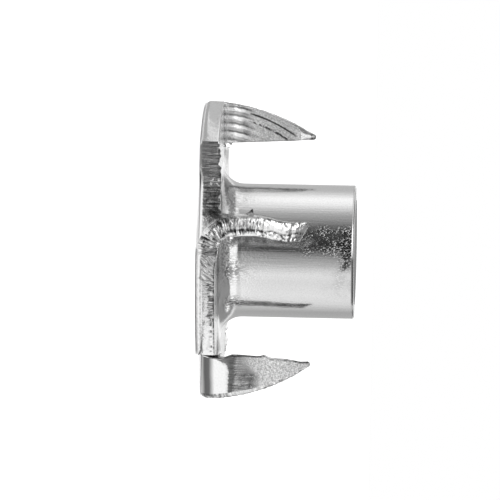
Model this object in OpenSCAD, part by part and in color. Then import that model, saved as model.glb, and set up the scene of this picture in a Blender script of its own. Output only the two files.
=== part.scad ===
// Four-prong tee nut, drawn, lanced and folded from one piece of sheet steel.
//
// The origin is the centre of the bore on the outer face of the flange, and +Z
// runs up the barrel. Each prong is worked out at +X: its fold line runs
// outwards there, the prong stands on the clockwise side of that line, and the
// slit that freed it runs clockwise from the fold to the rim. In a prong's own
// frame u points outwards along the fold line, v lies across it, and z is up.

/* [Flange] */
// Diameter of the round flange
flange_d = 22; // [21:0.5:26]
// Thickness of the sheet
sheet_t = 1.4; // [1.2:0.05:1.6]
// Rounding that the blanking die leaves on the rim of the outer face
rim_r = 0.4; // [0.1:0.05:0.6]

/* [Barrel] */
// Outside diameter of the barrel
barrel_d = 9.9; // [9.4:0.1:10.6]
// Height from the outer face of the flange to the mouth of the barrel
overall_h = 11.3; // [9:0.1:16]
// Bore, at the minor diameter of an M8 x 1.25 thread
bore_d = 6.65; // [6.6:0.05:6.9]
// Fillet between the inner face of the flange and the barrel
root_r = 1.6; // [0.8:0.1:1.8]
// Rounding where the sheet is drawn into the bore at the outer face
draw_r = 1.2; // [0.6:0.1:1.5]
// Lead-in chamfer of the bore at the mouth
lead_in = 0.65; // [0.3:0.05:0.9]
// Rounding on the outside edge of the mouth
mouth_r = 0.15; // [0.1:0.05:0.5]

/* [Prongs] */
// Number of prongs
prong_n = 4; // [3:1:4]
// Height of the prong tips above the outer face of the flange
prong_h = 8.2; // [7.6:0.1:9.4]
// Distance of the slits from the axis of the barrel
slit_off = 7.7; // [7.4:0.05:8.2]
// Shear gap between a slit and the straight edge of its prong
slit_gap = 0.1; // [0.05:0.01:0.2]
// Inside radius of the folds
fold_r = 1.45; // [1.2:0.05:1.7]
// Distance of the start of each fold past the radial line
fold_start = 0.35; // [0:0.05:0.6]
// Turn of the fold lines off the radial line
fold_skew = 4.5; // [0:0.5:6]
// Lean of the straight edge of a prong, away from the barrel
straight_lean = 2.9; // [0:0.1:4]
// Lean of the curved edge towards the barrel, where it leaves the rim
curved_lean = 4; // [0:0.5:6]
// Rounding of the prong tips
tip_r = 0.22; // [0.15:0.01:0.3]

/* [Step in the prongs] */
// Sideways step of a prong between its fold and its tip
step_off = 0.46; // [0.2:0.02:0.7]
// Height at which the step begins
step_z = 3.8; // [3.4:0.1:4.2]
// Height over which the step is spread
step_h = 3.22; // [2.8:0.02:3.6]

/* [Flutes] */
// Number of flutes that the punch draws down the inner face of a prong
flute_n = 4; // [1:1:4]
// Width of a flute
flute_w = 0.3; // [0.2:0.05:0.4]
// Depth of a flute
flute_depth = 0.1; // [0.05:0.01:0.15]
// Distance from one flute to the next
flute_pitch = 0.68; // [0.55:0.01:0.7]
// Radius of the curve that the outermost flute follows
flute_r = 12.3; // [10:0.1:15]
// Distance of that flute's middle from the rim
flute_in = 0.65; // [0.4:0.05:0.8]

/* [Hidden] */
$fn = 96;

rim = flange_d / 2;
barrel_r = barrel_d / 2;
bore_r = bore_d / 2;

// Cutters pass the part by this much, and half-planes reach this far.
clear = 1;
reach = flange_d;

// The fold turns the sheet about this line, until it stands at inner_v.
fold_z = sheet_t + fold_r;
inner_v = fold_start - fold_r;
fold_mid = (slit_off + rim) / 2;

// The rounding of the tip touches the straight edge. The curved edge is the one
// arc that leaves the rim at its lean and runs onto that rounding.
edge_u = slit_off + slit_gap;
tip_z = prong_h - tip_r;
tip_u = edge_u + tip_r / cos(straight_lean) + tip_z * tan(straight_lean);
tip_in = rim - tip_u;
arc_r = (tip_in ^ 2 + tip_z ^ 2 - tip_r ^ 2)
    / (2 * (tip_in * cos(curved_lean) - tip_z * sin(curved_lean) - tip_r));
arc_at = [rim - arc_r * cos(curved_lean), -arc_r * sin(curved_lean)];
arc_end = atan2(tip_z - arc_at[1], tip_u - arc_at[0]);

// A flat root this long ties the strip into the disc.
root_lap = 0.5;

// Two equal arcs make the step, one after the other.
step_angle = 2 * atan(step_off / step_h);
step_r = step_h / (2 * sin(step_angle));
step_top = step_z + step_h;

// The flutes start here, part of the way round the inside of the fold.
flute_z = fold_z - fold_r / 2;

// Half the section of the drawn body, from its axis to the rim.
module section() {
    difference() {
        union() {
            square([rim, sheet_t]);
            square([barrel_r + root_r, sheet_t + root_r]);
            square([barrel_r, overall_h]);
        }
        translate([barrel_r + root_r, sheet_t + root_r])
            circle(root_r);
        translate([barrel_r - mouth_r, overall_h - mouth_r])
            rounding(mouth_r);
        bore_section();
    }
}

// What the bore takes out of the section, with its draw-in and its lead-in.
module bore_section() {
    square([bore_r, overall_h]);
    polygon([
        [0, overall_h],
        [bore_r + lead_in, overall_h],
        [bore_r, overall_h - lead_in],
        [0, overall_h - lead_in]
    ]);
    difference() {
        square([bore_r + draw_r, draw_r]);
        translate([bore_r + draw_r, draw_r])
            circle(draw_r);
    }
}

// What rounds a corner that points to +X and +Y, from the rounding's centre.
module rounding(r) {
    difference() {
        square(r + clear);
        circle(r);
    }
}

// The flange and the barrel that is drawn out of it.
module drawn_body() {
    color("silver")
        rotate_extrude()
            section();
}

// Turns its children from the radial line onto the fold line.
module on_fold() {
    translate([fold_mid, 0])
        rotate(fold_skew)
            translate([-fold_mid, 0])
                children();
}

// The part of the disc that a prong was folded out of.
module notch() {
    translate([0, 0, -clear])
        linear_extrude(sheet_t + 2 * clear)
            intersection() {
                translate([slit_off, -reach / 2])
                    square(reach);
                on_fold()
                    translate([0, fold_start - reach])
                        square(reach);
            }
}

// All that lies on the inner side of the folded sheet, and what of the sheet
// lies less than depth under its inner face. X is v and Y is height.
module inner_side(depth) {
    near_r = step_r - sheet_t / 2 + depth;
    far_r = step_r + sheet_t / 2 - depth;
    turn_z = step_z + near_r * sin(step_angle);
    // The flat sheet, the fold and the foot of the blade.
    translate([fold_start, sheet_t - depth])
        square(reach);
    translate([fold_start, fold_z])
        circle(fold_r + depth);
    translate([inner_v - depth, fold_z])
        square([reach, step_z - fold_z]);
    // The first arc of the step, and then the second with the blade above it.
    intersection() {
        translate([inner_v - depth, step_z])
            square(reach);
        translate([inner_v - depth + near_r, step_z])
            circle(near_r);
    }
    difference() {
        translate([inner_v - depth, turn_z])
            square([reach, step_top - turn_z]);
        translate([inner_v + step_off - depth - far_r, step_top])
            circle(far_r);
    }
    translate([inner_v + step_off - depth, step_top])
        square([reach, prong_h + clear - step_top]);
}

// The folded and stepped strip between two depths under its inner face.
module strip(from, to) {
    intersection() {
        translate([fold_start + root_lap - reach, 0])
            square([reach, prong_h + clear]);
        difference() {
            inner_side(to);
            inner_side(from);
        }
    }
}

// Outline of a prong from the side, where X is u and Y is height.
module fin() {
    translate([tip_u, tip_z])
        circle(tip_r);
    difference() {
        intersection() {
            translate(arc_at)
                circle(arc_r);
            translate([edge_u, 0])
                rotate(-straight_lean)
                    translate([0, -clear])
                        square(reach);
        }
        // Off comes the corner beyond the two points that the tip touches.
        translate([tip_u, tip_z])
            polygon([
                tip_r * [-cos(straight_lean), sin(straight_lean)],
                tip_r * [cos(arc_end), sin(arc_end)],
                reach * [cos(arc_end), sin(arc_end)],
                reach * [-cos(straight_lean), sin(straight_lean)]
            ]);
    }
}

// The flutes from the side. Each is a band along an arc, and the straight edge
// cuts it short.
module flutes() {
    intersection() {
        translate([0, flute_z])
            square(reach);
        translate([rim - flute_in - flute_r, 0])
            for (i = [0 : flute_n - 1]) {
                difference() {
                    circle(flute_r - i * flute_pitch + flute_w / 2);
                    circle(flute_r - i * flute_pitch - flute_w / 2);
                }
            }
    }
}

// What an outline seen from the side keeps of the strip between two depths.
module cut_from_strip(from, to) {
    intersection() {
        rotate([90, 0, 90])
            linear_extrude(reach)
                strip(from, to);
        rotate([90, 0, 0])
            linear_extrude(reach, center = true)
                children();
    }
}

// One prong at +X, with the root that ties it into the disc.
module prong() {
    color("gainsboro")
        on_fold()
            difference() {
                cut_from_strip(0, sheet_t)
                    fin();
                cut_from_strip(-flute_depth, flute_depth)
                    flutes();
            }
}

// What the blanking die rounds off the rim, where it runs into the folds too.
module rim_rounding() {
    rotate_extrude()
        translate([rim - rim_r, rim_r])
            mirror([0, 1])
                rounding(rim_r);
}

module tee_nut() {
    difference() {
        union() {
            difference() {
                drawn_body();
                for (i = [0 : prong_n - 1])
                    rotate(i * 360 / prong_n)
                        notch();
            }
            for (i = [0 : prong_n - 1])
                rotate(i * 360 / prong_n)
                    prong();
        }
        rim_rounding();
    }
}

tee_nut();
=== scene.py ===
import bmesh
import bpy
import numpy as np
from mathutils import Matrix, Vector


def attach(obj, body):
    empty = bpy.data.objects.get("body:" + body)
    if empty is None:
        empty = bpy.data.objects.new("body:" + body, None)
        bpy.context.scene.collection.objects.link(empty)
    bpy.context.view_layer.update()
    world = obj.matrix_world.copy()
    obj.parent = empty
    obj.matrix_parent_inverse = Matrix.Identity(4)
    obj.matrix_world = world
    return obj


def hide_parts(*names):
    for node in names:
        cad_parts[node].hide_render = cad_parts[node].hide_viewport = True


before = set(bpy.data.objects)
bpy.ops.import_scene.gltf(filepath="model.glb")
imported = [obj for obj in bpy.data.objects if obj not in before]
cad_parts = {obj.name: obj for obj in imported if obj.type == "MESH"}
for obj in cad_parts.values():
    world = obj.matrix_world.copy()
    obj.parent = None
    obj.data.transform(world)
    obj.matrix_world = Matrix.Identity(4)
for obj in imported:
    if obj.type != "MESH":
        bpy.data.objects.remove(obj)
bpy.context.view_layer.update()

# ----------
# The flange and the prongs. A disc of mild steel sheet is blanked with a die that rounds the rim
# of its outer face, and is slit four times. Each slit frees a strip, which is folded up on its own
# slightly skewed line, set sideways by a shallow step and brought to a point.

# Sizes are in millimetres until the mesh is made. The first prong stands at +X, and the others
# follow by quarters. In a prong's own frame p runs outwards along the fold line, q across it and
# z up. Depth is counted down from the sheet's inner face, which carries the barrel.
MM = 0.001
SHEET = 1.4
RIM_R = 11.0
PRONGS = 4
OPPOSITE, FRONT = 2, 3
SHARP_ROUND = 0.06
SLIT_U = 7.7
SLIT_LENGTH = 8.1
SKEW = np.radians(4.5)
PIVOT_P = 9.35
FOLD_Q = 0.35
FOLD_R = 1.45
FOLD_Z = SHEET + FOLD_R
EDGE_P = 7.8
EDGE_LEAN = np.radians(2.9)
TIP_ROUND = 0.22
TIP_Z = 8.2 - TIP_ROUND
TIP_P = EDGE_P + TIP_ROUND / np.cos(EDGE_LEAN) + TIP_Z * np.tan(EDGE_LEAN)
RIM_LEAN = np.radians(4)
STEP_Z = 3.8
STEP_RISE = 3.22
STEP_OFF = 0.46
STEP_TURN = 2 * np.arctan(STEP_OFF / STEP_RISE)
STEP_R = STEP_RISE / 2 / np.sin(STEP_TURN)
BEND_LENGTH = (FOLD_R + SHEET / 2) * np.pi / 2
STEP_START = BEND_LENGTH + STEP_Z - FOLD_Z
STEP_END = STEP_START + 2 * STEP_R * STEP_TURN

# The curved edge is the one arc that leaves the rim at its lean and touches the tip's rounding.
TIP_IN = RIM_R - TIP_P
ARC_R = (TIP_IN**2 + TIP_Z**2 - TIP_ROUND**2) / (
    2 * (TIP_IN * np.cos(RIM_LEAN) - TIP_Z * np.sin(RIM_LEAN) - TIP_ROUND)
)
ARC_P = RIM_R - ARC_R * np.cos(RIM_LEAN)
ARC_Z = -ARC_R * np.sin(RIM_LEAN)
TIP_TURN = np.arctan2(TIP_Z - ARC_Z, TIP_P - ARC_P)

# The flutes follow arcs of this radius and less, about this centre on the fold line.
FLUTE_P = -1.5
FLUTE_R = 12.2
FLUTE_PITCH = 0.6
FLUTE_DEEP = 0.11

# The press left each quarter a little different: how far the inner side of the tip is cut back,
# how much of the full splay its straight edge has, how far the heel of its fold swells, and how
# worn its rim is.
TIP_SLANT = (0.75, 0.75, 1.15, 0.75)
SPLAY = (1.0, 0.8, 0.25, 0.8)
HEEL = (0.0, 0.3, 0.0, 0.65)
RIM_WEAR = (0.8, 0.7, 0.15, 1.0)
TIP_SHEAR = 0.27


def unskewed(p, q):
    """From a prong's frame to the nut's: a turn by the skew about the middle of the fold line."""
    return (
        PIVOT_P + (p - PIVOT_P) * np.cos(SKEW) - q * np.sin(SKEW),
        (p - PIVOT_P) * np.sin(SKEW) + q * np.cos(SKEW),
    )


def folded(s, deep):
    """Where the strip's point at length s past the fold line and that depth goes: across and up.
    The bend, the flat, the step's two equal arcs and the blade each add their own part, and
    none of them adds more once its length is used up."""
    turn = np.clip(s / BEND_LENGTH, 0, 1) * np.pi / 2
    near = STEP_R - SHEET / 2 + deep
    far = STEP_R + SHEET / 2 - deep
    first = np.clip((s - STEP_START) / STEP_R, 0, STEP_TURN)
    second = STEP_TURN - np.clip((s - STEP_START) / STEP_R - STEP_TURN, 0, STEP_TURN)
    q = (
        FOLD_Q
        - (FOLD_R + deep) * np.sin(turn)
        + near * (1 - np.cos(first))
        + far * (np.cos(second) - np.cos(STEP_TURN))
    )
    z = (
        FOLD_Z
        - (FOLD_R + deep) * np.cos(turn)
        + np.clip(s - BEND_LENGTH, 0, STEP_Z - FOLD_Z)
        + near * np.sin(first)
        + far * (np.sin(STEP_TURN) - np.sin(second))
        + np.maximum(s - STEP_END, 0)
    )
    return q, z


def facing(s):
    """The way the strip's inner face looks at length s, across and up: it turns with the bend,
    tips down through the first arc of the step and back up through the second."""
    first = np.clip((s - STEP_START) / STEP_R, 0, STEP_TURN)
    second = np.clip((s - STEP_START) / STEP_R - STEP_TURN, 0, STEP_TURN)
    turn = np.clip(s / BEND_LENGTH, 0, 1) * np.pi / 2 + first - second
    return np.sin(turn), np.cos(turn)


def ripple(x, y, z, pitch, seed, waves=14):
    """Smooth irregular relief between about -2 and 2: the sum of plane waves of about that pitch in
    seeded directions, with seeded starts."""
    draw = np.random.default_rng(seed)
    way = draw.normal(size=(3, waves))
    way *= 2 * np.pi / pitch * draw.uniform(0.6, 1.5, waves) / np.linalg.norm(way, axis=0)
    start = draw.uniform(0, 2 * np.pi, waves)
    x, y, z = np.broadcast_arrays(x, y, z)
    return np.sin(np.stack([x, y, z], -1) @ way + start).sum(-1) * np.sqrt(2 / waves)


def hump(x, middle, width):
    """A soft hump: 1 at the middle, dying out as the square of the distance grows."""
    return np.exp(-(((x - middle) / width) ** 2))


def ramp(x, start, end):
    """A slope: 0 up to start, 1 from end on, and a straight line between. It may run downwards."""
    return np.clip((x - start) / (end - start), 0, 1)


def flute_at(p, z):
    """How many flutes in from the outermost one a point lies: its distance inside the first arc."""
    return (FLUTE_R - np.hypot(p - FLUTE_P, z)) / FLUTE_PITCH


def fluted(p, z):
    """The flutes: a wave across arcs about one centre, 0 between them and about 1 along each, that
    begins in the bend and dies out up the blade."""
    at = flute_at(p, z)
    comb = np.clip(np.cos(2 * np.pi * at) * 0.8 + 0.35, 0, 1.2)
    comb = comb * ramp(at, -0.5, 0.5) * ramp(at, 5, 4.2)
    return comb * np.interp(z, [1.42, 1.8, 3.0, 3.6, 5.7, 7.3], [0, 0.22, 0.25, 0.3, 0.3, 0])


def drawn_relief(p, s, z, deep, quarter):
    """How far the sheet of a prong is pressed away from its inner face. The flutes, a dimple by the
    tip and a low swelling above the bend shape the inner side only, fading with the square of
    the depth. Slow waves shape the whole sheet, and a soft heel grows towards the outer face."""
    inner = ramp(deep, 0.5, 0) ** 2
    dimple = 0.05 * hump(z, 7.4, 0.3) * hump(p, 8.5, 0.15)
    if quarter == OPPOSITE:
        swelling = 0.12 * hump(z, 2.5 + 0.14 * np.sin(9 * p), 0.75)
    else:
        swelling = 0.06 * hump(z, 2.7, 0.5)
    swelling = swelling * ramp(z, 1.42, 1.92)
    waves = 0.008 * ripple(p, s, 7 * quarter, 1.6, 11 + quarter) * ramp(s, 0, 2)
    heel = HEEL[quarter] * hump(s, 2.0, 0.6) * ramp(s, 0, 0.4) * ramp(p, 9.9, 8.1) * deep / SHEET
    return (FLUTE_DEEP * fluted(p, z) + dimple - swelling) * inner + waves + heel


def tapered(z, deep, quarter):
    """Draws the inner side of a blade's tip down along z, so that the end is cut at a slant."""
    return z - TIP_SLANT[quarter] * ramp(z, 6.2, 8.2) ** 2 * ramp(deep, SHEET, 0) ** 1.2


def set_in_place(p, s, q, z, deep, quarter):
    """Presses the relief into a prong's point, shears and tapers its tip, and gives its place on
    the nut."""
    across, up = facing(s)
    press = drawn_relief(p, s, z, deep, quarter)
    q, z = q - press * across, z - press * up
    p = p - TIP_SHEAR * SPLAY[quarter] * deep / SHEET * ramp(z, 5, 8.2) ** 1.3
    u, v = unskewed(p, q)
    return u, v, tapered(z, deep, quarter)


def rim_crossing(out):
    """Where the fold line meets a circle that stands out from the rim by that much."""
    b = PIVOT_P * np.cos(SKEW)
    c = PIVOT_P**2 + FOLD_Q**2 - 2 * PIVOT_P * FOLD_Q * np.sin(SKEW) - (RIM_R + out) ** 2
    return PIVOT_P - b + np.sqrt(b**2 - c)


def corner(out):
    """The point where the slit's line meets the rim, both moved out by that much."""
    return SLIT_U + out, -np.sqrt((RIM_R + out) ** 2 - (SLIT_U + out) ** 2)


# Each edge below is a path from 0 to 1 that stands out by some amount at some depth. Those of a
# prong give p, s, q and z in its frame. The others give their place on the nut.
def straight_edge(t, out, deep, quarter):
    """The edge that the slit left on the prong, from the fold at 0 to the tip at 1. The shear
    splays it a little, and most on the outer face."""
    s = t * (STEP_END + TIP_Z + (TIP_ROUND + out) * np.sin(EDGE_LEAN) - STEP_Z - STEP_RISE)
    q, z = folded(s, deep)
    flare = np.interp(z, [1.7, 2.8, 5, 7.4], [0, 0.08, 0.07, 0])
    flare = flare + deep / SHEET * np.interp(z, [1.5, 2.4, 4.5, 6.5, 7.5], [0, 0.38, 0.36, 0.2, 0])
    p = EDGE_P - SPLAY[quarter] * flare + z * np.tan(EDGE_LEAN) - out / np.cos(EDGE_LEAN)
    return p, s, q, z


def curved_edge(t, out, deep, quarter):
    """The edge that was the disc's rim, from the fold at 0 to the tip at 1: an arc seen from the
    side, eased over from the true rim in the bend."""
    s = t * (STEP_END + TIP_Z + (TIP_ROUND + out) * np.sin(TIP_TURN) - STEP_Z - STEP_RISE)
    q, z = folded(s, deep)
    start = ARC_P + np.sqrt((ARC_R + out) ** 2 - (SHEET - deep - ARC_Z) ** 2)
    ease = ramp(s, BEND_LENGTH, 0) ** 2
    p = ARC_P + np.sqrt((ARC_R + out) ** 2 - (z - ARC_Z) ** 2)
    return p + (rim_crossing(out) - start) * ease, s, q, z


def tip_edge(t, out, deep, quarter):
    """The rounding of the tip, an arc from the straight edge at 0 to the curved edge at 1."""
    angle = np.pi - EDGE_LEAN + (TIP_TURN - np.pi + EDGE_LEAN) * t
    s = STEP_END + TIP_Z + (TIP_ROUND + out) * np.sin(angle) - STEP_Z - STEP_RISE
    q, z = folded(s, deep)
    return TIP_P + (TIP_ROUND + out) * np.cos(angle), s, q, z


def slit_burr(s, deep):
    """How far the ragged burr on a slit's inner edge stands up: ripple along the slit, rising
    within the rounding of the edge."""
    ragged = np.clip(0.12 + 0.07 * ripple(s, 0, 0, 0.45, 88), 0, 0.3)
    along = np.interp(s, [0.1, 0.5, 2.3, 2.8, 5.8, 6.6], [0, 1.2, 1, 0.6, 0.6, 0])
    return ragged * along * np.interp(deep / SHARP_ROUND, [0, 0.134, 0.5, 1], [0, 0.9, 1, 0])


def slit_edge(t, out, deep, quarter):
    """The wall that the slit left on the disc: straight, from the rim's corner to the fold. The
    folding pulled the sheet beside it up a little along its middle."""
    u, v = corner(out)
    end = (FOLD_Q + (u - PIVOT_P) * np.sin(SKEW)) / np.cos(SKEW)
    lift = np.interp(t, [0, 0.22, 0.32, 0.85, 0.97], [0, 0, 0.15, 0.09, 0])
    return u, v + (end - v) * t, SHEET - deep + lift + slit_burr(t * SLIT_LENGTH, deep)


def slit_root(t, out, deep, quarter):
    """The end of the slit: half an ellipse from its wall at 0 round to the prong's edge at 1."""
    u, v, _ = slit_edge(1.0, out, deep, quarter)
    wall_p = PIVOT_P + (u - PIVOT_P) * np.cos(SKEW) + v * np.sin(SKEW)
    edge_p = straight_edge(0.0 * out, out, deep, quarter)[0]
    half = (edge_p - wall_p) / 2
    angle = np.pi * (1 - t)
    u, v = unskewed(wall_p + half + half * np.cos(angle), FOLD_Q + half * np.sin(angle))
    return u, v, SHEET - deep


def rim_edge(t, out, deep, quarter):
    """The rim, from the fold round to the next slit's corner: an arc about the barrel's axis."""
    u, v = unskewed(rim_crossing(out), FOLD_Q)
    start = np.arctan2(v, u)
    u, v = corner(out)
    angle = start + (np.pi / 2 + np.arctan2(v, u) - start) * t
    return (RIM_R + out) * np.cos(angle), (RIM_R + out) * np.sin(angle), SHEET - deep


def edge_profile(outer_round):
    """Section of a cut edge from the inner face to the outer face: how far each point stands out,
    where 0 is the full outline, and how deep it lies. A small quarter circle, a straight wall and
    a quarter circle of radius outer_round."""
    first = np.linspace(0, np.pi / 2, 4)
    last = np.linspace(np.pi / 2, 0, 6)
    wall = np.linspace(0, 1, 15)[1:-1]
    whole = np.ones_like(outer_round)
    out = np.hstack([
        SHARP_ROUND * (np.sin(first) - 1) * whole,
        0 * wall * whole,
        outer_round * (np.sin(last) - 1),
    ])
    deep = np.hstack([
        SHARP_ROUND * (1 - np.cos(first)) * whole,
        SHARP_ROUND + (SHEET - SHARP_ROUND - outer_round) * wall,
        SHEET - outer_round * (1 - np.cos(last)),
    ])
    return out, deep


# The relief of the cut edges, by length along each edge and depth. It stays off both faces.
def faces_kept(deep):
    """1 inside the sheet's thickness, falling to 0 at both faces by the sixth power."""
    return 1 - np.clip(np.abs(deep / SHEET - 0.5) * 2, 0, 1) ** 6


def crumpled(s, deep, pitch, seed):
    """Wrinkles of an edge that was squeezed in the bend: sharp ridges across it at that pitch,
    swayed by ripple."""
    sway = 0.3 * pitch * ripple(s, 0.8 * deep, 0, 4 * pitch, seed)
    ridges = 1 - 2 * np.abs(np.sin(np.pi * (s + sway) / pitch)) ** 0.8
    return ridges * np.clip(0.75 + 0.3 * ripple(s, deep, 0, 5 * pitch, seed + 1), 0.2, 1.3)


def blade_squeeze(s, deep):
    """How crumpled a prong's curved edge is: most in the bend, less on towards the tip, and less
    by both faces."""
    by_inner = np.interp(deep, [0.1, 0.3], [0.2, 1])
    kept = np.interp(s, [0, 0.8, 2.6, 3.6], [0.4, 1, 1, 0.4])
    by_outer = 1 - (1 - kept) * ramp(deep, 1.1, 1.3)
    across = np.where(deep < SHEET / 2, by_inner, by_outer)
    return np.interp(s, [0, 1, 4.2, 5.5, 9], [0.7, 1, 0.9, 0.4, 0.25]) * across


def blade_torn(s, deep):
    """How dark a prong's curved edge is torn: along a swaying line close to its inner face, along
    both of its lips in the bend, and raggedly along both on the blade."""
    sway = 0.05 * ripple(s, 0, 0, 1.2, 41)
    line = hump(deep, np.interp(s, [2, 3.5, 6, 9], [0.3, 0.38, 0.42, 0.5]) + sway, 0.09)
    line = line * np.interp(s, [1.2, 2.4, 5, 8.2], [0, 1, 1, 0.85])
    outer_bend = 0.22 * ramp(deep, 1.05, 1.2) * np.interp(s, [0.3, 0.9, 2.6, 3.2], [0, 1, 1, 0])
    inner_bend = 0.6 * ramp(deep, 0.14, 0.06) * np.interp(s, [0, 0.5, 3.2, 3.8], [0.5, 1, 1, 0])
    lips = 0.6 * np.interp(deep, [0.3, 0.42, 1.12, 1.22], [1, 0, 0, 1]) * ramp(s, 4.4, 5.6)
    lips = lips * np.clip(0.8 + 0.5 * ripple(s, deep, 0, 0.25, 43), 0, 1.4)
    return np.maximum.reduce([line, outer_bend, inner_bend, lips])


def blade_relief(s, deep, quarter):
    """The curved edge of a prong: wrinkles, lumps, a low crown past the bend and the torn lines
    sunk into it, with the highest ridges cut off."""
    wrinkles = 0.03 * crumpled(s, deep, 0.27, 20 + quarter) * blade_squeeze(s, deep)
    lumps = 0.016 * ripple(s, deep, 0, 0.5, 50 + quarter)
    crown = 0.03 * hump(deep, 0.82, 0.22) * ramp(s, 2, 3.5)
    relief = wrinkles + lumps + crown - 0.09 * blade_torn(s, deep)
    return np.minimum(relief, 0.02 + 0.03 * ramp(s, 2.5, 4.5)) * faces_kept(deep)


def rim_squeeze(s, deep):
    """How crumpled the flange's rim is: near the fold on its whole width, then only by the inner
    face, and at last hardly at all but for its rolled outer edge."""
    wide = np.interp(s, [0, 0.8, 2.2, 3.6], [1, 0.7, 0.5, 0.05])
    wide = wide * np.interp(deep, [0.35, 0.45, 0.95, 1.05], [0, 1, 1, 0.1])
    ragged = deep + 0.05 * ripple(s, 0, 0, 0.3, 62)
    narrow = np.interp(s, [0, 1.2, 2, 4.6, 5.6], [0.5, 0.7, 1, 1, 0.12])
    narrow = narrow * np.interp(ragged, [0.02, 0.1, 0.46, 0.6], [0.3, 1, 1, 0])
    rolled = 0.55 * ramp(deep, 1.05, 1.15) * np.interp(s, [0, 2, 8], [0.5, 0.6, 1])
    return np.maximum.reduce([wide, narrow, rolled])


def rim_torn(s, deep):
    """How dark the rim is torn: a line by the inner face, dashes below it near the slit's corner,
    and a seam above the rolled edge."""
    line = hump(deep, 0.04, 0.05) * np.interp(s, [0, 0.8, 7.6, 8], [0.3, 1, 0.9, 0.2])
    dashes = np.clip(ripple(s, 0, 0, 0.5, 61), 0, 1) * hump(deep, 0.27, 0.06) * ramp(s, 4.6, 5.4)
    seam = 0.6 * hump(deep, 0.99, 0.03)
    return np.clip(line + dashes + seam, 0, 1)


def slanted(s, deep):
    """Length along the rim, sheared with depth beside the fold, so that wrinkles slant there."""
    return s + 0.9 * (deep - SHEET / 2) * np.interp(s, [0, 1.6, 2.6], [1, 0.8, 0])


def rim_relief(s, deep, quarter):
    """The rim of the flange: teeth where it is squeezed, slight lumps and the torn line, all sunk
    below the full outline."""
    worn = rim_squeeze(s, deep) * RIM_WEAR[quarter]
    teeth = 0.04 * (crumpled(slanted(s, deep), deep, 0.24, 30 + quarter) - 0.4) * worn
    lumps = 0.01 * (ripple(s, deep, 0, 0.6, 70 + quarter) - 1) * (0.15 + worn)
    tear = 0.04 * rim_torn(s, deep) * RIM_WEAR[quarter]
    return np.minimum(teeth + lumps - tear, 0) * faces_kept(deep)


def slit_relief(s, deep, quarter):
    """The sheared wall of a slit: slow waves along it, where the sheet tore before the knife, with
    one ridge across it and a pitted patch beside that."""
    waves = 0.02 * ripple(s, 0.3 * deep, 0, 1.3, 80 + quarter)
    ridge = 0.05 * hump(s, 3.5, 0.07)
    pits = 0.02 * ripple(s, deep, 0, 0.3, 85 + quarter) * hump(s, 3.0, 0.4)
    return (waves + ridge + pits) * faces_kept(deep)


# The marks say where the metal is sheared, squeezed, torn, drawn and so on, each from 0 to about
# 1, and give the finish its places along and across the flutes and the edges. The torn and creased
# marks also carry painted shade.
MARKS = (
    "shear", "squeeze", "torn", "drawn", "grain", "creased", "scuffed", "rubbed",
    "flute", "rise", "along", "deep",
)


def above_roll(deep):
    """1 on a sheared wall, and 0 where its edge is rolled over by the outer face."""
    return ramp(deep, 1.26, 1.2)


def sheared_marks(s, deep, quarter):
    """A sheared wall is scored down to where its edge is rolled over."""
    return dict(shear=faces_kept(deep) * above_roll(deep))


def slit_marks(s, deep, quarter):
    """A slit's wall is sheared, with painted shade along its middle."""
    dark = np.interp(s, [3.3, 3.5, 5.3, 5.5], [0, 0.42, 0.42, 0])
    return dict(torn=dark * above_roll(deep)) | sheared_marks(s, deep, quarter)


def straight_marks(s, deep, quarter):
    """A prong's straight edge is sheared, and dull from where it leaves the fold."""
    return dict(torn=0.55 * ramp(s, 0.6, 1.2)) | sheared_marks(s, deep, quarter)


def tip_marks(s, deep, quarter):
    """A tip is grainy, and torn on its outer half."""
    start = 0.75 if quarter == OPPOSITE else 0.95
    return dict(grain=0.3, torn=np.clip((deep - start) / 0.15, 0, 0.8))


def blade_marks(s, deep, quarter):
    """A prong's curved edge is squeezed and torn, less so at the opposite prong's end, and the
    front prong's outer lip is dull."""
    torn = blade_torn(s, deep)
    if quarter == OPPOSITE:
        torn = torn * (1 - 0.6 * ramp(s, 6, 7))
    if quarter == FRONT:
        lip = 0.5 * ramp(deep, 1.2, 1.3) * np.interp(s, [1, 2, 5, 6], [0, 1, 1, 0])
        torn = np.maximum(torn, lip)
    return dict(squeeze=blade_squeeze(s, deep), torn=torn)


def rim_marks(s, deep, quarter):
    """The rim is squeezed and torn as far as it is worn, with its wrinkles slantwise."""
    wear = RIM_WEAR[quarter]
    return dict(
        squeeze=rim_squeeze(s, deep) * wear,
        torn=rim_torn(s, deep) * min(1, 1.2 * wear),
        along=slanted(s, deep),
    )


def inner_marks(p, z, quarter):
    """A prong's inner face has flutes, and grain from the bend up. The front prong's is darker from the
    fold up.
    """
    front_darker = quarter == FRONT
    return dict(
        grain=(0.3 if front_darker else 0.65) * ramp(z, 2.6, 3.8),
        torn=0.6 * front_darker * ramp(z, 1.5, 2),
        flute=flute_at(p, z) + 1,
        rise=z,
    )


def outer_marks(p, z, quarter):
    """A prong's outer face is rubbed in the bend, scuffed above it and grainy on the blade. It is
    torn along its straight edge, the front prong's far across, and its heel is torn and darkened
    with painted crease shade."""
    torn_width, rubbing = (1.0, 0.0) if quarter == FRONT else (0.09, 1.0)
    from_edge = p - p[:, :1]
    above_line = z - 3.4 - np.clip(p - 8.1, 0, 0.9)
    heel = HEEL[quarter]
    return dict(
        grain=ramp(above_line, 0, 0.4),
        rubbed=rubbing * ramp(above_line, 0, -0.4) * ramp(z, 1.9, 2.3),
        scuffed=hump(z, 3.6, 0.6) * ramp(p, 8.85, 9.05),
        torn=0.8 * ramp(from_edge, torn_width, 0) * ramp(z, 1.5, 2)
        + heel * ramp(z, 1.9, 1.5) * ramp(p, 9.9, 9.1),
        creased=heel * ramp(z, 2.3, 1.9) * ramp(p, 10.2, 9.4),
    )


laid_points, laid_marks, four_sided, three_sided = [], [], [], []


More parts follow.
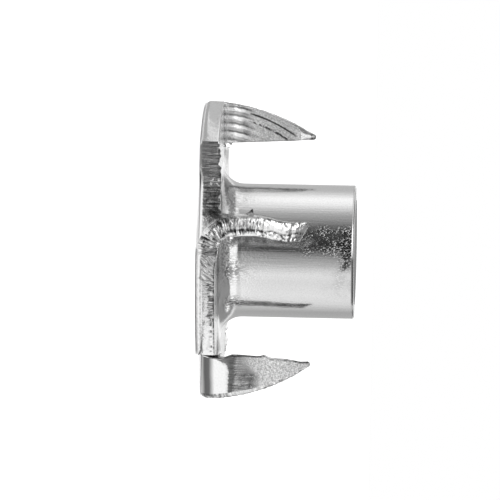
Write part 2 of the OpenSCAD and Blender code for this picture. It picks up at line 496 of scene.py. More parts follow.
def lay_points(x, y, z, **marks):
    """Adds a grid of points with their marks and returns their numbers. A mark not given is 0."""
    x, y, z, *kept = np.broadcast_arrays(x, y, z, *(marks.get(name, 0.0) for name in MARKS))
    first = sum(len(points) for points in laid_points)
    laid_points.append(np.stack([x, y, z], -1).reshape(-1, 3))
    laid_marks.append(np.stack(kept, -1).reshape(-1, len(MARKS)))
    return first + np.arange(x.size).reshape(x.shape)


def skin(numbers):
    """Joins each point of a grid to its neighbours with four-sided faces."""
    a, b = numbers[:-1, :-1], numbers[1:, :-1]
    c, d = numbers[1:, 1:], numbers[:-1, 1:]
    four_sided.append(np.stack([a, b, c, d], -1).reshape(-1, 4))


def stitch(row, row_at, other, other_at):
    """Joins two rows with different counts by triangles: each step of a row makes one with the
    point of the other row that lies across from its middle along the seam."""
    row_mid = (row_at[:-1] + row_at[1:]) / 2
    other_mid = (other_at[:-1] + other_at[1:]) / 2
    across = other[np.searchsorted(other_mid, row_mid, "left")]
    back = row[np.searchsorted(row_mid, other_mid, "right")]
    three_sided.append(np.stack([row[:-1], row[1:], across], -1))
    three_sided.append(np.stack([other[1:], other[:-1], back], -1))


def turned(quarter, u, v):
    """Turns a point of the first prong's frame by that many quarters round the barrel."""
    c, s = [(1, 0), (0, 1), (-1, 0), (0, -1)][quarter]
    return c * u - s * v, s * u + c * v


def run(count):
    """Even steps from 0 to 1, as a column."""
    return np.linspace(0, 1, count + 1)[:, None]


def spread(left, right, count):
    """Straight rows between two edges, finer towards both: a mix of even and cosine steps."""
    t = np.linspace(0, 1, count + 1)
    t = 0.6 * t + 0.4 * (0.5 - 0.5 * np.cos(np.pi * t))
    return left[:, None] + (right - left)[:, None] * t


# How far each part of the cut edge is rounded on the outer face, from one end to the other.
SLIT_STEPS, ROOT_STEPS, BLADE_STEPS, TIP_STEPS, RIM_STEPS = 90, 8, 120, 12, 120
slit_at = [0, 0.05, 0.22, 0.35, 0.85, 1]
slit_round = np.interp(run(SLIT_STEPS), slit_at, [0.25, 0.13, 0.12, 0.2, 0.22, 0.12])
root_round = np.full((ROOT_STEPS + 1, 1), 0.12)
straight_round = np.interp(run(BLADE_STEPS), [0, 1], [0.12, 0.1])
tip_round = np.full((TIP_STEPS + 1, 1), 0.1)
blade_round = np.interp(run(BLADE_STEPS), [0, 0.35, 1], [0.4, 0.34, 0.1])
rim_round = np.interp(run(RIM_STEPS), [0, 0.95, 1], [0.4, 0.4, 0.25])

# The cut edge of one quarter, part by part: its path, rounding and length, its relief and marks.
PRONG_EDGES = (straight_edge, tip_edge, curved_edge)
EDGES = (
    (slit_edge, slit_round, SLIT_LENGTH, slit_relief, slit_marks),
    (slit_root, root_round, 0.2, None, sheared_marks),
    (straight_edge, straight_round, 8.7, None, straight_marks),
    (tip_edge, tip_round, 0.6, None, tip_marks),
    (curved_edge, blade_round, 8.7, blade_relief, blade_marks),
    (rim_edge, rim_round, 8.1, rim_relief, rim_marks),
)
INNER, OUTER = 0, -1
CHORD_STEPS = 30


def cut_ribbon(quarter):
    """Lays the ribbon of cut edge that runs right round one quarter: each part's profile carried
    along its path, with relief that dies out at both ends. Returns for each part its points'
    places on the first quarter and their numbers."""
    ribbon = {}
    for path, rounding, length, relief, marks in EDGES:
        t = run(len(rounding) - 1)
        s = t * length
        out, deep = edge_profile(rounding)
        if relief:
            out = out + relief(s, deep, quarter) * np.clip(np.minimum(t, 1 - t) * 12, 0, 1)
        place = path(t, out, deep, quarter)
        if path in PRONG_EDGES:
            place = set_in_place(*place, deep, quarter)
        u, v, z = np.broadcast_arrays(*place)
        finish = dict(along=s, deep=deep) | marks(s, deep, quarter)
        numbers = lay_points(*turned(quarter, u, v), z, **finish)
        skin(numbers)
        ribbon[path] = u, v, z, numbers
    return ribbon


def prong_face(quarter, side, count, ribbon):
    """Lays one face of a prong, with rows straight across from edge to edge, up to the chord under
    its tip, and joins it to the tip. Returns its first row and how far along the fold that lies."""
    t = run(BLADE_STEPS)[:, 0]
    if side == INNER:
        deep, out, far_out = 0.0, -SHARP_ROUND, -SHARP_ROUND
    else:
        deep, out, far_out = SHEET, -straight_round[:, 0], -blade_round[:, 0]
    near_p, near_s, *_ = straight_edge(t, out, deep, quarter)
    far_p, far_s, *_ = curved_edge(t, far_out, deep, quarter)
    p, s = spread(near_p, far_p, count), spread(near_s, far_s, count)
    u, v, z = set_in_place(p, s, *folded(s, deep), deep, quarter)
    marks = inner_marks(p, z, quarter) if side == INNER else outer_marks(p, z, quarter)
    face = lay_points(*turned(quarter, u, v), z, **marks)
    skin(face)
    *_, tip = ribbon[tip_edge]
    stitch(face[-1], np.linspace(0, 1, count + 1), tip[:, side], run(TIP_STEPS)[:, 0])
    return face[0], (p[0] - p[0, 0]) / (p[0, -1] - p[0, 0])


def flange_segment(quarter, side, ribbon, fold_row, fold_at):
    """Lays one face of the flange between a fold, the rim and the chord from the fold's inner end
    to the rim's far end, with rows straight from the chord to the rim. Returns the chord."""
    chord_at, rim_at = run(CHORD_STEPS)[:, 0], run(RIM_STEPS)[:, 0]
    rim_u, rim_v, rim_z, rim = (part[:, side] for part in ribbon[rim_edge])
    from_u, from_v, *_ = (part[0, side] for part in ribbon[straight_edge])
    chord_u = (from_u + (rim_u[-1] - from_u) * chord_at)[:, None]
    chord_v = (from_v + (rim_v[-1] - from_v) * chord_at)[:, None]
    across = np.append(np.linspace(0, 0.9, 6), 0.97)
    u = chord_u + (np.interp(chord_at, rim_at, rim_u)[:, None] - chord_u) * across
    v = chord_v + (np.interp(chord_at, rim_at, rim_v)[:, None] - chord_v) * across
    segment = lay_points(*turned(quarter, u, v), rim_z[0], grain=0.3 if side == INNER else 0.0)
    skin(segment)
    stitch(segment[:, -1], chord_at, rim, rim_at)
    stitch(fold_row, fold_at, np.append(segment[0], rim[0]), np.append(across, 1.0))
    return segment[:, 0]


ribbons, chords = [], {}
for quarter in range(PRONGS):
    ribbons.append(cut_ribbon(quarter))
    for side, count in ((INNER, 36), (OUTER, 16)):
        fold = prong_face(quarter, side, count, ribbons[quarter])
        chords[quarter, side] = flange_segment(quarter, side, ribbons[quarter], *fold)

# ----------
# The barrel. It is drawn up out of the middle of the disc, which leaves a fillet at its foot and a
# rounded draw-in on the outer face, then it is faced, chamfered and tapped with a coarse thread.
BARREL_R = 4.95
BORE_R = 3.325
TOP_Z = 11.3
FOOT_R = 1.6
DRAW_R = 1.2
LEAD_IN = 0.65
MOUTH_ROUND = 0.15
PITCH = 1.25
THREAD_DEEP = 0.6
SECTOR_STEPS = 64
BORE_STEPS = 112

# Every ring of points starts at the root of the first slit.
root_u, root_v = unskewed(EDGE_P - 0.05, FOLD_Q)
ring_turn = np.arctan2(root_v, root_u)


def ring_angles(count, start=0, turn=2 * np.pi):
    """Angles of a ring's points, or of a part of it, from its start on through that turn."""
    return ring_turn + start + np.linspace(0, turn, count + 1)


def revolved(radius, height, count, **marks):
    """A profile turned about the barrel's axis."""
    angle = ring_angles(count)
    r, z = np.asarray(radius)[:, None], np.asarray(height)[:, None]
    numbers = lay_points(r * np.cos(angle), r * np.sin(angle), z, **marks)
    skin(numbers)
    return numbers


foot_arc = np.linspace(0, np.pi / 2, 17)
mouth_arc = np.linspace(0, np.pi / 2, 5)
straight_z = [SHEET + FOOT_R + 0.05, 4.5, 6.5, 8.5, 9.6, 10.0, 10.3, 10.6, 10.8, 11.0, 11.1]
outside_r = np.concatenate([
    BARREL_R + FOOT_R - FOOT_R * np.sin(foot_arc),
    np.full(len(straight_z), BARREL_R),
    BARREL_R - MOUTH_ROUND + MOUTH_ROUND * np.cos(mouth_arc),
    [BARREL_R - MOUTH_ROUND - 0.05, BORE_R + LEAD_IN + 0.05, BORE_R + LEAD_IN],
])
outside_z = np.concatenate([
    SHEET + FOOT_R - FOOT_R * np.cos(foot_arc),
    straight_z,
    TOP_Z - MOUTH_ROUND + MOUTH_ROUND * np.sin(mouth_arc),
    [TOP_Z] * 3,
])

# The outside's marks, by height and by angle round from -Y: painted crease shade on the fillet
# beside the front prong and painted shade at its foot between it and the opposite one, the mouth
# darker below and on its face, and one patch by the mouth scuffed and darker, with a darker run
# below it on the side towards -Y.
row_z = outside_z[:, None]
around = (ring_angles(PRONGS * SECTOR_STEPS) + 1.5 * np.pi) % (2 * np.pi) - np.pi
worn_side = ramp(around, -0.42, -0.36)
mouth_patch = 1.3 * worn_side * ramp(around, 0.36, 0.26) * ramp(row_z, 10.1, 10.4)
fringe = 0.3 * ramp(around, 0.05, 0.25) * ramp(around, 0.8, 0.6) * ramp(row_z, 9.2, 10)
dark_run = 0.85 * worn_side * ramp(around, 0.12, 0.02) * ramp(row_z, 6.8, 8)
scuffed = np.maximum.reduce([mouth_patch, fringe, dark_run]) * ramp(row_z, 11.14, 11.1)
# The barrel is darker just below its mouth on the side towards -Y, and the mouth's rounding and face are
# darker round the rest, most towards the first prong.
darker_below_mouth = 0.3 * hump(around, 0, 0.38) ** 2 * ramp(row_z, 10.2, 10.5) * ramp(row_z, 11.12, 11.07)
mouth_at = [-0.45, -0.38, 0.02, 0.12, 0.85, 0.95]
darker_mouth_top = np.interp(around, mouth_at, [0.4, 0, 0, 1, 1, 0.4]) * (row_z > 11.12)
# Painted shade at the fillet's foot, where the barrel meets the flange, between the front prong and the
# opposite one.
foot_shade = np.interp(around, [-1.15, -1, -0.45, -0.35], [0, 1, 1, 0])
foot_shade = 0.65 * foot_shade * ramp(row_z, 2.05, 1.75)
foot_crease_shade = np.maximum.reduce([
    0.75 * hump(around, 0.3, 0.17), 0.3 * hump(around, -0.75, 0.22), 0.55 * hump(around, 0.85, 0.12),
])
foot_crease_shade = foot_crease_shade * np.clip(1.6 - 1.8 * np.abs(row_z - 2.35), 0, 1)
low_crease_shade = 0.45 * np.interp(around, [-0.35, -0.2, 0.25, 0.35], [0, 1, 1, 0])
low_crease_shade = low_crease_shade * np.interp(row_z, [1.5, 1.7, 2.15, 2.3], [0, 1, 1, 0])
outside = revolved(
    outside_r, outside_z, PRONGS * SECTOR_STEPS,
    drawn=1.0,
    torn=np.maximum.reduce([darker_below_mouth, darker_mouth_top, foot_shade]),
    creased=np.maximum(foot_crease_shade, low_crease_shade),
    scuffed=scuffed,
)

draw_arc = np.linspace(0, np.pi / 2, 9)
draw_r = BORE_R + DRAW_R - DRAW_R * np.sin(draw_arc)
draw_in = revolved(draw_r, DRAW_R - DRAW_R * np.cos(draw_arc), BORE_STEPS, drawn=1.0)
chamfer_r = [BORE_R, BORE_R + 0.05, BORE_R + LEAD_IN]
chamfer_z = [TOP_Z - LEAD_IN, TOP_Z - LEAD_IN + 0.05, TOP_Z]
chamfer = revolved(chamfer_r, chamfer_z, BORE_STEPS, drawn=1.0)
stitch(chamfer[-1], ring_angles(BORE_STEPS), outside[-1], ring_angles(PRONGS * SECTOR_STEPS))

# The thread's rows follow its helix, and each keeps one place on its profile all the way round: a
# narrow crest, flanks and a narrow root. It fades out at both ends of the bore.
phase = np.array([-0.125, 0.125, 0.2, 0.28, 0.36, 0.4375, 0.5, 0.5625, 0.64, 0.72, 0.8])
cut = np.array([0, 0, 0.24, 0.5, 0.76, 1, 1, 1, 0.76, 0.5, 0.24])
turns = np.arange(-2, 10)[:, None]
start_z = DRAW_R + (turns + phase).reshape(-1, 1) * PITCH
angle = ring_angles(BORE_STEPS)
bore_z = start_z + PITCH * (angle - ring_turn) / (2 * np.pi)
in_bore = np.flatnonzero((bore_z.max(1) > DRAW_R) & (bore_z.min(1) < TOP_Z - LEAD_IN))
kept = np.arange(in_bore[0] - 1, in_bore[-1] + 2)
bore_z = np.clip(bore_z[kept], DRAW_R, TOP_Z - LEAD_IN)
fade = np.clip(np.minimum(bore_z - DRAW_R, TOP_Z - LEAD_IN - bore_z) / 0.5, 0, 1)
bore_r = BORE_R + THREAD_DEEP * np.tile(cut, len(turns))[kept, None] * fade
skin(lay_points(bore_r * np.cos(angle), bore_r * np.sin(angle), bore_z, drawn=1.0))


def disc_sector(quarter, side, ring, ring_r, level):
    """Lays one face of the middle of the disc over a quarter, from a ring round the barrel or the
    bore out to the slit's root, the segment's chord and the next slit: rows in even steps from
    the ring to just inside that border, rising to the border's height."""
    here, there = ribbons[quarter], ribbons[(quarter + 1) % PRONGS]
    half = ROOT_STEPS // 2
    border = np.concatenate([
        here[slit_root][3][half:, side],
        chords[quarter, side][1:],
        there[slit_edge][3][1:, side],
        there[slit_root][3][1:half + 1, side],
    ])
    x, y, z = np.concatenate(laid_points)[border].T
    border_at = np.unwrap(np.arctan2(y, x))
    border_at -= 2 * np.pi * np.round((border_at[0] - quarter * np.pi / 2) / (2 * np.pi))
    border_at = np.maximum.accumulate(border_at)
    angle = ring_angles(SECTOR_STEPS, quarter * np.pi / 2, np.pi / 2)
    last_r = np.interp(angle, border_at, np.hypot(x, y)) - 0.3
    last_r[[0, -1]] = SLIT_U - 0.35
    lift = np.interp(angle, border_at, z) - level
    out = run(6)
    marks = {}
    if side == INNER:
        # The inner face is darker towards the next slit, where the folding lifted the sheet.
        by_slit = np.interp(np.linspace(0, 1, angle.size), [0.56, 0.6], [0.1, 0.9])
        marks = dict(grain=0.3, torn=by_slit * ramp(out, 0.3, 0.7) * ramp(lift, 0, 0.05))
    else:
        out = out[1:]
    r = ring_r + (last_r - ring_r) * out
    plate = lay_points(r * np.cos(angle), r * np.sin(angle), level + lift * out, **marks)
    skin(plate)
    if side == OUTER:
        count = (len(ring) - 1) // PRONGS
        ring_part = ring[quarter * count:(quarter + 1) * count + 1]
        stitch(ring_part, ring_angles(count, quarter * np.pi / 2, np.pi / 2), plate[0], angle)
    stitch(plate[-1], angle, border, border_at)


# The middle of the disc joins the barrel's two foot circles to the slits and the segments.
for quarter in range(PRONGS):
    disc_sector(quarter, INNER, outside[0], BARREL_R + FOOT_R, SHEET)
for quarter in range(PRONGS):
    disc_sector(quarter, OUTER, draw_in[0], BORE_R + DRAW_R, 0.0)

# Burrs and bumps that the tools left: where each is, how wide, and how far it stands out. The
# narrow ones are torn burrs.
points = np.concatenate(laid_points)
marks = np.concatenate(laid_marks)
TORN_AND_SHADED = MARKS.index("torn")
for at, width, push in (
    ((-2.60, -8.20, 3.82), 0.17, (-0.42, 0.0, 0.14)),
    ((-2.66, -8.20, 3.55), 0.12, (-0.10, 0.0, 0.05)),
    ((-7.82, 0.30, 1.50), 0.12, (0.50, 0.0, 0.05)),
    ((-7.85, 0.80, 1.85), 0.11, (0.42, 0.0, 0.14)),
    ((7.87, -2.54, 4.85), 0.28, (-0.17, -0.05, 0.0)),
    ((6.9, 8.3, 1.4), 0.7, (0.0, 0.0, 0.15)),
    ((0.35, -11.0, 1.45), 0.7, (0.0, 0.0, 0.22)),
):
    near = hump(np.linalg.norm(points - at, axis=1), 0, width)
    points = points + near[:, None] * push
    if width < 0.2:
        marks[:, TORN_AND_SHADED] = np.maximum(marks[:, TORN_AND_SHADED], 0.9 * np.clip(2 * near, 0, 1))

# The mesh of the whole nut. Grids that meet are merged there, and all faces turned outwards.
quads = np.concatenate(four_sided)
threes = np.concatenate(three_sided)
corners = np.concatenate([quads.ravel(), threes.ravel()])
face_starts = np.concatenate([np.arange(len(quads)) * 4, quads.size + np.arange(len(threes)) * 3])
mesh = bpy.data.meshes.new("tee_nut_plated")
mesh.vertices.add(len(points))
mesh.vertices.foreach_set("co", (points * MM).ravel())
mesh.loops.add(len(corners))
mesh.loops.foreach_set("vertex_index", corners)
mesh.polygons.add(len(face_starts))
mesh.polygons.foreach_set("loop_start", face_starts)
mesh.update(calc_edges=True)
for column, name in enumerate(MARKS):
    mesh.attributes.new(name, "FLOAT", "CORNER").data.foreach_set("value", marks[corners, column])
MERGED_WITHIN = 5e-7
work = bmesh.new()
work.from_mesh(mesh)
bmesh.ops.remove_doubles(work, verts=work.verts, dist=MERGED_WITHIN)
bmesh.ops.recalc_face_normals(work, faces=work.faces)
work.to_mesh(mesh)
work.free()
mesh.shade_smooth()
mesh.set_sharp_from_angle(angle=np.radians(35))
plated_nut = bpy.data.objects.new("tee_nut_plated", mesh)
bpy.context.scene.collection.objects.link(plated_nut)

# The plating. The nut is plated with bright zinc, under which every mark of the press shows. It
# mirrors on drawn and rolled metal, and dulls where the metal is torn, scored or grainy, while
# painted shade darkens its wrinkles, creases and flutes and the barrel's foot.
zinc = bpy.data.materials.new("bright_zinc_plate")
zinc.use_nodes = True
tree = zinc.node_tree
shader = tree.nodes["Principled BSDF"]


def value(kind, *inputs, **settings):
    """A shader node of the tree in hand. Each input is one or three numbers or a node's output."""
    made = tree.nodes.new(kind)
    for setting, given in settings.items():
        setattr(made, setting, given)
    for socket, given in zip(made.inputs, inputs):
        if isinstance(given, (int, float, tuple)):
            socket.default_value = given
        elif given is not None:
            tree.links.new(given, socket)
    return made.outputs[0]


def maths(operation, *inputs):
    """One sum of up to three values."""
    return value("ShaderNodeMath", *inputs, operation=operation)


def times(one, other, plus=0.0):
    """Two values multiplied, plus a third."""
    return maths("MULTIPLY_ADD", one, other, plus)


def less(one, other):
    """One value less another."""
    return maths("SUBTRACT", one, other)


def slope(x, start, end):
    """A slope as ramp gives it: 0 up to start, 1 from end on, and a straight line between."""
    return value("ShaderNodeMapRange", x, start, end, 0.0, 1.0)


def from_half(x):
    """How far a value is from halfway between two whole numbers."""
    return maths("ABSOLUTE", less(maths("FRACT", x), 0.5))


def marked(name):
    """A mark of the mesh, read as a number."""
    made = tree.nodes.new("ShaderNodeAttribute")
    made.attribute_name = name
    return made.outputs["Fac"]


def placed(x, y):
    """A flat place at x and y."""
    return value("ShaderNodeCombineXYZ", x, y)


def scaled(place, x, y, z):
    """A place with each of its directions multiplied."""
    return value("ShaderNodeVectorMath", place, (x, y, z), operation="MULTIPLY")


def grains(place, scale, detail=2.0, rough=0.6, low=0.3, high=0.7):
    """Noise about a place at that scale, stretched so that low comes out as 0 and high as 1."""
    made = tree.nodes.new("ShaderNodeTexNoise")
    made.inputs["Scale"].default_value = scale
    made.inputs["Detail"].default_value = detail
    made.inputs["Roughness"].default_value = rough
    tree.links.new(place, made.inputs["Vector"])
    return slope(made.outputs[0], low, high)


on_object = tree.nodes.new("ShaderNodeTexCoord").outputs["Object"]
shear, squeeze, torn, drawn, grain, creased, scuff, rubbed, flute, rise, along, deep = map(marked, MARKS)
on_edge = placed(along, deep)

# Patterns of the cut edges run along and across them, by millimetres.
wrinkles = grains(scaled(on_edge, 6.5, 1.3, 1.0), 1.0, low=0.42, high=0.6)
scores = grains(scaled(on_edge, 6.5, 0.45, 1.0), 1.0, 3.0, low=0.36, high=0.64)
mottle = grains(scaled(on_edge, 4.0, 4.0, 1.0), 1.0, low=0.35, high=0.6)

# Patterns of the faces and the barrel are drawn out along the barrel as far as the press drew them.
speckle = grains(on_object, 7000.0)
crust = grains(on_object, 8500.0, rough=0.65, low=0.38, high=0.62)
patches = grains(on_object, 1500.0, 1.0, 0.5, 0.42, 0.6)
spots = grains(scaled(on_object, 1.0, 1.0, 0.7), 9500.0, 1.0, 0.5, 0.52, 0.7)
creases = grains(scaled(on_object, 1.0, 1.0, 0.5), 6500.0, low=0.44, high=0.58)
streaks = grains(scaled(on_object, 1.0, 1.0, 0.05), 5000.0, 3.0)
rubs = grains(scaled(on_object, 1.0, 1.0, 0.06), 5500.0, 3.0, low=0.35, high=0.65)

# Painted shade darkens the flutes beside their crests in the fold, and two of them along their
# bottoms on the blade, with fine draw lines between them.
on_inner = slope(rise, 1.4, 1.75)
in_fold = times(slope(rise, 3.7, 3.0), on_inner)
on_blade = times(slope(rise, 3.1, 3.6), slope(rise, 6.9, 6.4))
swayed = times(grains(placed(rise, 0.0), 1.3, 1.0, 0.5), 0.16, flute)
beside = slope(from_half(less(swayed, 0.48)), 0.16, 0.06)
off_crest = slope(from_half(maths("ADD", swayed, 0.19)), 0.12, 0.24)
fold_flute_shade = times(times(off_crest, 0.42, times(beside, 0.3)), in_fold)
draw_lines = grains(placed(times(flute, 5.0), times(rise, 0.45)), 1.0, low=0.35, high=0.65)
dashes = grains(scaled(placed(flute, rise), 2.0, 5.0, 1.0), 1.0, 1.0, 0.5, 0.4, 0.6)
first_line = slope(maths("ABSOLUTE", less(flute, 1.29)), 0.15, 0.04)
second_line = slope(maths("ABSOLUTE", less(flute, 2.25)), 0.17, 0.04)
flute_bottom_shade = times(maths("MAXIMUM", first_line, times(second_line, dashes)), on_blade)

# Zinc dulls in torn and scored lines, in pits and where it rubbed, and painted shade darkens the
# valleys of the wrinkles, the creases and the flutes.
scuff = times(scuff, times(patches, 0.7, 0.3))
dull_and_shaded = times(torn, less(1.4, mottle))
for layer, strength in (
    # Painted shade in the wrinkles' valleys; the crease and flute layers further on are painted shade
    # too.
    (times(times(squeeze, squeeze), less(1.0, wrinkles)), 0.78),
    (times(shear, less(1.0, scores)), 0.6),
    (times(times(grain, 0.5, 0.06), less(1.0, crust)), 1.0),
    (times(creased, less(1.0, creases)), 0.95),
    (fold_flute_shade, 0.9),
    (flute_bottom_shade, 1.0),
    (times(on_inner, less(1.0, draw_lines)), 0.22),
    (times(scuff, less(1.0, spots)), 0.6),
    (times(rubbed, less(1.55, rubs)), 0.35),
):
    dull_and_shaded = times(layer, strength, dull_and_shaded)
tint = value("ShaderNodeMapRange", dull_and_shaded, 0.0, 1.0, 0.96, 0.06)
tree.links.new(value("ShaderNodeCombineColor", tint, tint, tint), shader.inputs["Base Color"])

# The same patterns stand a few hundredths of a millimetre high.
height = times(speckle, 0.09)
for pattern, share, strength in (
    (creases, creased, 1.3),
    (wrinkles, squeeze, 1.0),
    (scores, shear, 1.5),
    (streaks, drawn, 0.16),
    (crust, grain, 0.7),
    (mottle, torn, 0.6),
    (draw_lines, on_inner, 0.9),
    (crust, on_inner, 0.2),
    (spots, scuff, 0.8),
    (rubs, rubbed, 0.3),
):
    height = times(pattern, times(share, strength), height)
relief = tree.nodes.new("ShaderNodeBump")
relief.inputs["Distance"].default_value = 0.02 * MM
tree.links.new(height, relief.inputs["Height"])
tree.links.new(relief.outputs[0], shader.inputs["Normal"])

# Grainy metal and the fluted inner faces mirror less, and grain and shear roughen the plate.
metal = times(on_inner, -0.35, times(grain, -0.3, 1.0))
tree.links.new(metal, shader.inputs["Metallic"])
rough = times(shear, 0.08, times(grain, 0.33, 0.11))
tree.links.new(rough, shader.inputs["Roughness"])
mesh.materials.append(zinc)
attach(plated_nut, "root")
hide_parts("tee_nut")

# ----------
# The studio floor. A wide sheet of pale paper under the nut's flange, which also glows a little to
# the camera, so that only the shadow shows on it.
scene = bpy.context.scene
scene.view_settings.view_transform = "Standard"


def studio_sheet(name, corners, faces, material):
    """A sheet of the studio, from its corners in millimetres."""
    sheet_mesh = bpy.data.meshes.new(name)
    sheet_mesh.from_pydata((np.asarray(corners, float) * MM).tolist(), [], faces)
    sheet_mesh.materials.append(material)
    sheet = bpy.data.objects.new(name, sheet_mesh)
    scene.collection.objects.link(sheet)
    return sheet


paper = bpy.data.materials.new("pale_floor")
paper.use_nodes = True
tree = paper.node_tree
shader = tree.nodes["Principled BSDF"]
shader.inputs["Base Color"].default_value = (0.92, 0.92, 0.92, 1)
shader.inputs["Roughness"].default_value = 0.9
shader.inputs["Emission Color"].default_value = (1, 1, 1, 1)
rays = tree.nodes.new("ShaderNodeLightPath").outputs
tree.links.new(times(rays["Is Camera Ray"], 0.4), shader.inputs["Emission Strength"])
floor_corners = [(-600, -600, 0), (600, -600, 0), (600, 600, 0), (-600, 600, 0)]
studio_sheet("floor", floor_corners, [(0, 1, 2, 3)], paper)

# ----------
# The cards. Glowing sheets of grey and white stand and lie round the nut, and only its metal sees
# them, so that they paint reflections in it: a low ring, a strip under the first prong's bend, one
# overhead and one over the flutes.
card = bpy.data.materials.new("glow_seen_in_metal")
card.use_nodes = True
tree = card.node_tree
tree.nodes.clear()
glow = value("ShaderNodeEmission", None, marked("card_shade"))
tree.links.new(glow, tree.nodes.new("ShaderNodeOutputMaterial").inputs["Surface"])


def glowing_card(name, rows, shades, joined):
    """A glowing sheet from rows of points, each with one shade of glow or one for each point. Every
    row that joined names is joined to the row after it."""
    count = len(rows[0])
    first = np.concatenate([np.arange(count - 1) + row * count for row in joined])
    faces = np.stack([first, first + 1, first + count + 1, first + count], -1)
    sheet = studio_sheet(name, np.concatenate(rows), faces.tolist(), card)
    shade = np.concatenate([row_shade + np.zeros(count) for row_shade in shades])
    sheet.data.attributes.new("card_shade", "FLOAT", "POINT").data.foreach_set("value", shade)
    sheet.visible_camera = False
    sheet.visible_diffuse = False
    sheet.visible_shadow = False


# The ring's brightness at each angle round from -Y, towards the first prong's side below 0 and
# towards the opposite prong's above.
RING_R = 60.0
RING_LOW = 0.05
RING_HIGH = 13.05
BRIM_HIGH = 21.05
card_angle = [
    -180, -172, -165, -125, -110, -100, -80, -63, -52, -44, -37, -28, -20, -10, -3,
    0, 4, 12, 33, 42, 55, 67, 76, 90, 100, 112, 125, 150, 165, 172, 180,
]
card_shade = [
    1, 1, 0.45, 0.39, 0.58, 0.71, 0.79, 0.75, 0.72, 0.78, 0.75, 0.55, 0.42, 0.30, 0.20,
    0.09, 0.04, 0.03, 0.07, 0.15, 0.30, 0.43, 0.68, 0.97, 1, 0.72, 0.50, 0.49, 0.57, 1, 1,
]
round_angle = np.linspace(-180, 180, 241)
wall_shade = np.interp(round_angle, card_angle, card_shade)
lit_at = [-95, -85, -45, -10, 4, 9, 14, 22, 40, 46]
lit_more = np.interp(round_angle, lit_at, [0, 0.42, 0.42, 0.25, 0.15, 0, 0, 0.12, 0.12, 0])
lit_most = np.interp(round_angle, [80, 90, 120, 130], [1, 0.5, 0.5, 1])
floor_shade = np.minimum(np.minimum(wall_shade + lit_more, 1), lit_most)
near_shade = np.interp(round_angle, [12, 18, 44, 48], [1, 0.25, 0.25, 0.42])


def ring_row(radius, z):
    """A ring of points at a height, whose radius may change with the angle."""
    turn = np.radians(round_angle)
    return np.stack([-radius * np.sin(turn), -radius * np.cos(turn), z + 0 * turn], -1)


# Inside the ring, its apron lies on the floor in to the flange and follows its outline: the rim,
# and in each quarter the notch that the strip left. Under the flange's edge in each notch lies a
# glowing white lip, which paints a highlight on the rounded lower edge of the slit's wall.
quarter_angle = (round_angle + 90) % 90
in_notch = np.clip(np.minimum(quarter_angle - 1, 39 - quarter_angle), 0, 1)
notch_r = (SLIT_U + 0.2) / np.cos(np.radians(quarter_angle))
rim_r = RIM_R + 0.05
outline_r = rim_r + (notch_r - rim_r) * in_notch
apron_r = np.interp(quarter_angle, [0, 21, 31, 43, 46, 90], [13, 13, 9.2, 9.2, 13, 13])
lip_r = [(notch_r - gap) * in_notch + 11.3 * (1 - in_notch) for gap in (0.5, -0.15)]
ring_rows = [
    (ring_row(np.minimum(outline_r, apron_r - 0.1), RING_LOW), near_shade),
    (ring_row(apron_r - 0.05, RING_LOW), near_shade),
    (ring_row(apron_r, RING_LOW), floor_shade),
    (ring_row(RING_R, RING_LOW), floor_shade),
    (ring_row(RING_R, RING_LOW), wall_shade),
    (ring_row(RING_R, RING_HIGH), wall_shade),
    (ring_row(RING_R, BRIM_HIGH), 1.0),
    (ring_row(lip_r[0], RING_LOW), 1.0),
    (ring_row(lip_r[1], RING_LOW), 1.0),
]
glowing_card("card_ring", *zip(*ring_rows), joined=(0, 2, 4, 5, 7))

# The glowing strip under the first prong's bend, which paints the reflections in that bend. From
# behind the bend forwards it is light, dark as painted shade for the shade under the bend, white up
# to a slanted edge as a painted highlight, and dark again.
bend_x = np.array([7.9, 8.4, 8.7, 9.1, 9.6, 13.0])
white_end = np.array([-2.3, -3.0, -3.7, -4.8, -5.5, -5.9])
bend_rows = [
    (bend_x, 0.5, 0.5),
    (bend_x, -0.45, 0.5),
    (bend_x, -0.85, 0.13),
    (bend_x, -1.4, 0.16),
    (bend_x, -2.15, 1.0),
    (bend_x, white_end, 1.0),
    (bend_x, white_end - 0.06, 0.21),
    (bend_x, -14.0, 0.2),
    (1.3 * bend_x, -40.0, 0.2),
]
bend_points = [np.stack(np.broadcast_arrays(x, y, 0.08), -1) for x, y, _ in bend_rows]
glowing_card("bend_reflection_glow", bend_points, [shade for *_, shade in bend_rows], joined=range(8))

# The grey card overhead, which makes what looks steeply up dimmer than the walls. It is flat to
# the front and rolled down behind.
overhead_rows = [
    np.array([(x, front, 120), (x, 90, 120), (x, 170, 112), (x, 215, 90), (x, 230, 60), (x, 230, 40)])
    for x, front in ((-300, -78), (40, -78), (125, -39), (175, 25), (300, 60))
]
glowing_card("overhead_card", overhead_rows, [0.27] * 5, joined=range(4))

# The small white card over the opposite prong lights its flutes down to the fold.
white_rows = [np.array([(-12.5, y, 15), (-7.2, y, 15)]) for y in (-9, 30)]
glowing_card("white_card", white_rows, [1.0, 1.0], joined=[0])

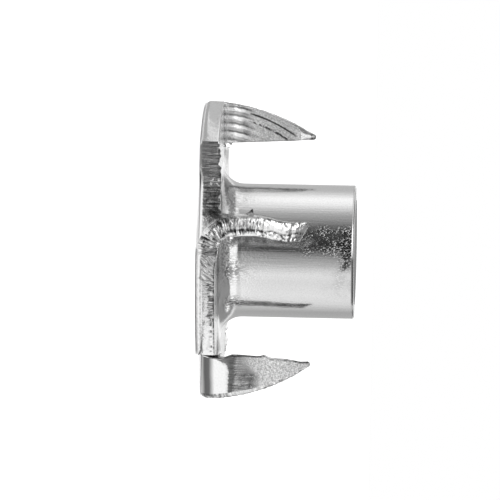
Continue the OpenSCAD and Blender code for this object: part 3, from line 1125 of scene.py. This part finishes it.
# ----------
# The surround and the lamps. The room is white, a little dimmer to the light that the nut scatters
# than to the camera and to its reflections, and two soft square lamps shine from above.
world = bpy.data.worlds.new("white_surround")
scene.world = world
world.use_nodes = True
tree = world.node_tree
background = tree.nodes["Background"]
background.inputs["Color"].default_value = (1, 1, 1, 1)
rays = tree.nodes.new("ShaderNodeLightPath").outputs
seen = maths("MAXIMUM", rays["Is Camera Ray"], rays["Is Glossy Ray"])
seen = maths("MAXIMUM", seen, rays["Is Transmission Ray"])
level = value("ShaderNodeMapRange", seen, 0.0, 1.0, 0.85, 1.0)
tree.links.new(level, background.inputs["Strength"])


def soft_lamp(name, at, size, watts):
    """A square soft lamp in millimetres, turned to the middle of the nut."""
    lamp = bpy.data.lights.new(name, "AREA")
    lamp.size = size * MM
    lamp.energy = watts
    shown = bpy.data.objects.new(name, lamp)
    scene.collection.objects.link(shown)
    place = Vector(at) * MM
    shown.location = place
    shown.rotation_euler = (Vector((0, 0, 4 * MM)) - place).to_track_quat("-Z", "Y").to_euler()


soft_lamp("key_lamp", (-70, -110, 170), 120, 0.07)
soft_lamp("fill_lamp", (120, 60, 140), 120, 0.05)

# ----------
# The camera. It stands a little above the floor with a long lens and is rolled on its side, so that
# the barrel points to the right.
CAMERA_AWAY = 0.4
elevation, roll = np.radians(2.5), np.radians(1.15)
back = Vector((0, -np.cos(elevation), np.sin(elevation)))
side_on = (Vector((0, 0, 1)) - back * back.z).normalized()
upward = back.cross(side_on)
right = side_on * np.cos(roll) + upward * np.sin(roll)
up = upward * np.cos(roll) - side_on * np.sin(roll)
place = Vector((-0.004, 0, 3.48)) * MM + back * CAMERA_AWAY
camera = bpy.data.objects.new("camera", bpy.data.cameras.new("camera"))
scene.collection.objects.link(camera)
camera.data.lens = 388
camera.data.sensor_width = 36
camera.data.clip_start = 0.01
camera.matrix_world = Matrix((
    (right.x, up.x, back.x, place.x),
    (right.y, up.y, back.y, place.y),
    (right.z, up.z, back.z, place.z),
    (0, 0, 0, 1),
))
scene.camera = camera
